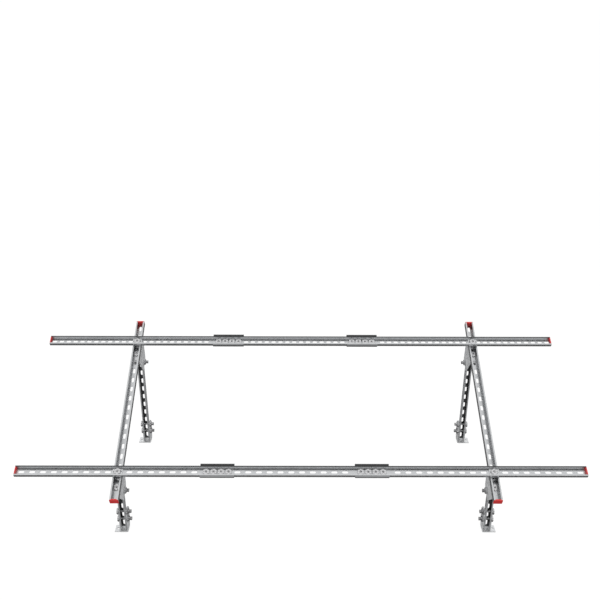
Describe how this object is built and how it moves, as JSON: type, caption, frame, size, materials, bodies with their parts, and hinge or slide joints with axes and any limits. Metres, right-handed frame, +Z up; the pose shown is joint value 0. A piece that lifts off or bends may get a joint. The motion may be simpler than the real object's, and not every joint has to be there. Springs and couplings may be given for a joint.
{
  "type": "solar panel tilt mount",
  "caption": "Galvanised strut frame that carries solar panels at a tilt, on hinged slotted legs with fan-shaped feet and red end caps",
  "frame": {"origin": "middle of the outline, on the ground", "axes": "+X along the cross rails towards the right in the picture, +Y up the slope and away from the viewer, +Z up"},
  "size_m": [2.65, 0.9662, 0.7093],
  "materials": {
    "galvanised_rail": "hot-dip galvanised, matt grey",
    "galvanised_sheet": "galvanised sheet, matt grey",
    "zinc_fastener": "zinc-plated, slightly shiny",
    "cap_plastic": "red moulded plastic"
  },
  "bodies": {
    "deck": {"front_rail_left": "galvanised_rail", "front_rail_middle": "galvanised_rail", "front_rail_right": "galvanised_rail", "rear_rail_left": "galvanised_rail", "rear_rail_middle": "galvanised_rail", "rear_rail_right": "galvanised_rail", "front_splice_left": "galvanised_sheet", "front_splice_right": "galvanised_sheet", "rear_splice_left": "galvanised_sheet", "rear_splice_right": "galvanised_sheet", "front_rail_cap_left": "cap_plastic", "front_rail_cap_right": "cap_plastic", "rear_rail_cap_left": "cap_plastic", "rear_rail_cap_right": "cap_plastic", "slope_rail_left": "galvanised_rail", "slope_rail_right": "galvanised_rail", "slope_cap_top_left": "cap_plastic", "slope_cap_bottom_left": "cap_plastic", "slope_cap_top_right": "cap_plastic", "slope_cap_bottom_right": "cap_plastic", "splice_bolts": "zinc_fastener", "splice_nuts": "zinc_fastener", "crossing_bolts": "zinc_fastener", "crossing_plates": "galvanised_sheet", "channel_nuts": "zinc_fastener", "connector_front_left": "galvanised_sheet", "connector_front_right": "galvanised_sheet", "connector_rear_left": "galvanised_sheet", "connector_rear_right": "galvanised_sheet", "connector_bolts": "zinc_fastener", "connector_nuts": "zinc_fastener", "pivot_bolts": "zinc_fastener", "pivot_nuts": "zinc_fastener"},
    "leg_body_front_left": {"leg_front_left": "galvanised_rail", "lock_bolt_front_left": "zinc_fastener", "lock_nut_front_left": "zinc_fastener"},
    "foot_body_front_left": {"foot_front_left": "galvanised_sheet", "foot_bolt_front_left": "zinc_fastener", "foot_nut_front_left": "zinc_fastener"},
    "leg_body_front_right": {"leg_front_right": "galvanised_rail", "lock_bolt_front_right": "zinc_fastener", "lock_nut_front_right": "zinc_fastener"},
    "foot_body_front_right": {"foot_front_right": "galvanised_sheet", "foot_bolt_front_right": "zinc_fastener", "foot_nut_front_right": "zinc_fastener"},
    "leg_body_rear_left": {"leg_rear_left": "galvanised_rail", "lock_bolt_rear_left": "zinc_fastener", "lock_nut_rear_left": "zinc_fastener"},
    "foot_body_rear_left": {"foot_rear_left": "galvanised_sheet", "foot_bolt_rear_left": "zinc_fastener", "foot_nut_rear_left": "zinc_fastener"},
    "leg_body_rear_right": {"leg_rear_right": "galvanised_rail", "lock_bolt_rear_right": "zinc_fastener", "lock_nut_rear_right": "zinc_fastener"},
    "foot_body_rear_right": {"foot_rear_right": "galvanised_sheet", "foot_bolt_rear_right": "zinc_fastener", "foot_nut_rear_right": "zinc_fastener"}
  },
  "joints": [
    {"name": "front_left_leg_pivot", "type": "hinge", "parent": "deck", "child": "leg_body_front_left", "pos_m": [-0.852, -0.3438, 0.24545], "axis": [1, 0, 0], "range_deg": [-25, 40]},
    {"name": "front_left_foot_pivot", "type": "hinge", "parent": "leg_body_front_left", "child": "foot_body_front_left", "pos_m": [-0.852, -0.3438, 0.075], "axis": [1, 0, 0], "range_deg": [0, 70]},
    {"name": "front_right_leg_pivot", "type": "hinge", "parent": "deck", "child": "leg_body_front_right", "pos_m": [0.895, -0.3438, 0.24545], "axis": [1, 0, 0], "range_deg": [-25, 40]},
    {"name": "front_right_foot_pivot", "type": "hinge", "parent": "leg_body_front_right", "child": "foot_body_front_right", "pos_m": [0.895, -0.3438, 0.075], "axis": [1, 0, 0], "range_deg": [0, 70]},
    {"name": "rear_left_leg_pivot", "type": "hinge", "parent": "deck", "child": "leg_body_rear_left", "pos_m": [-0.852, 0.37147, 0.51683], "axis": [1, 0, 0], "range_deg": [-25, 40]},
    {"name": "rear_left_foot_pivot", "type": "hinge", "parent": "leg_body_rear_left", "child": "foot_body_rear_left", "pos_m": [-0.852, 0.37147, 0.075], "axis": [1, 0, 0], "range_deg": [0, 70]},
    {"name": "rear_right_leg_pivot", "type": "hinge", "parent": "deck", "child": "leg_body_rear_right", "pos_m": [0.895, 0.37147, 0.51683], "axis": [1, 0, 0], "range_deg": [-25, 40]},
    {"name": "rear_right_foot_pivot", "type": "hinge", "parent": "leg_body_rear_right", "child": "foot_body_rear_right", "pos_m": [0.895, 0.37147, 0.075], "axis": [1, 0, 0], "range_deg": [0, 70]}
  ]
}
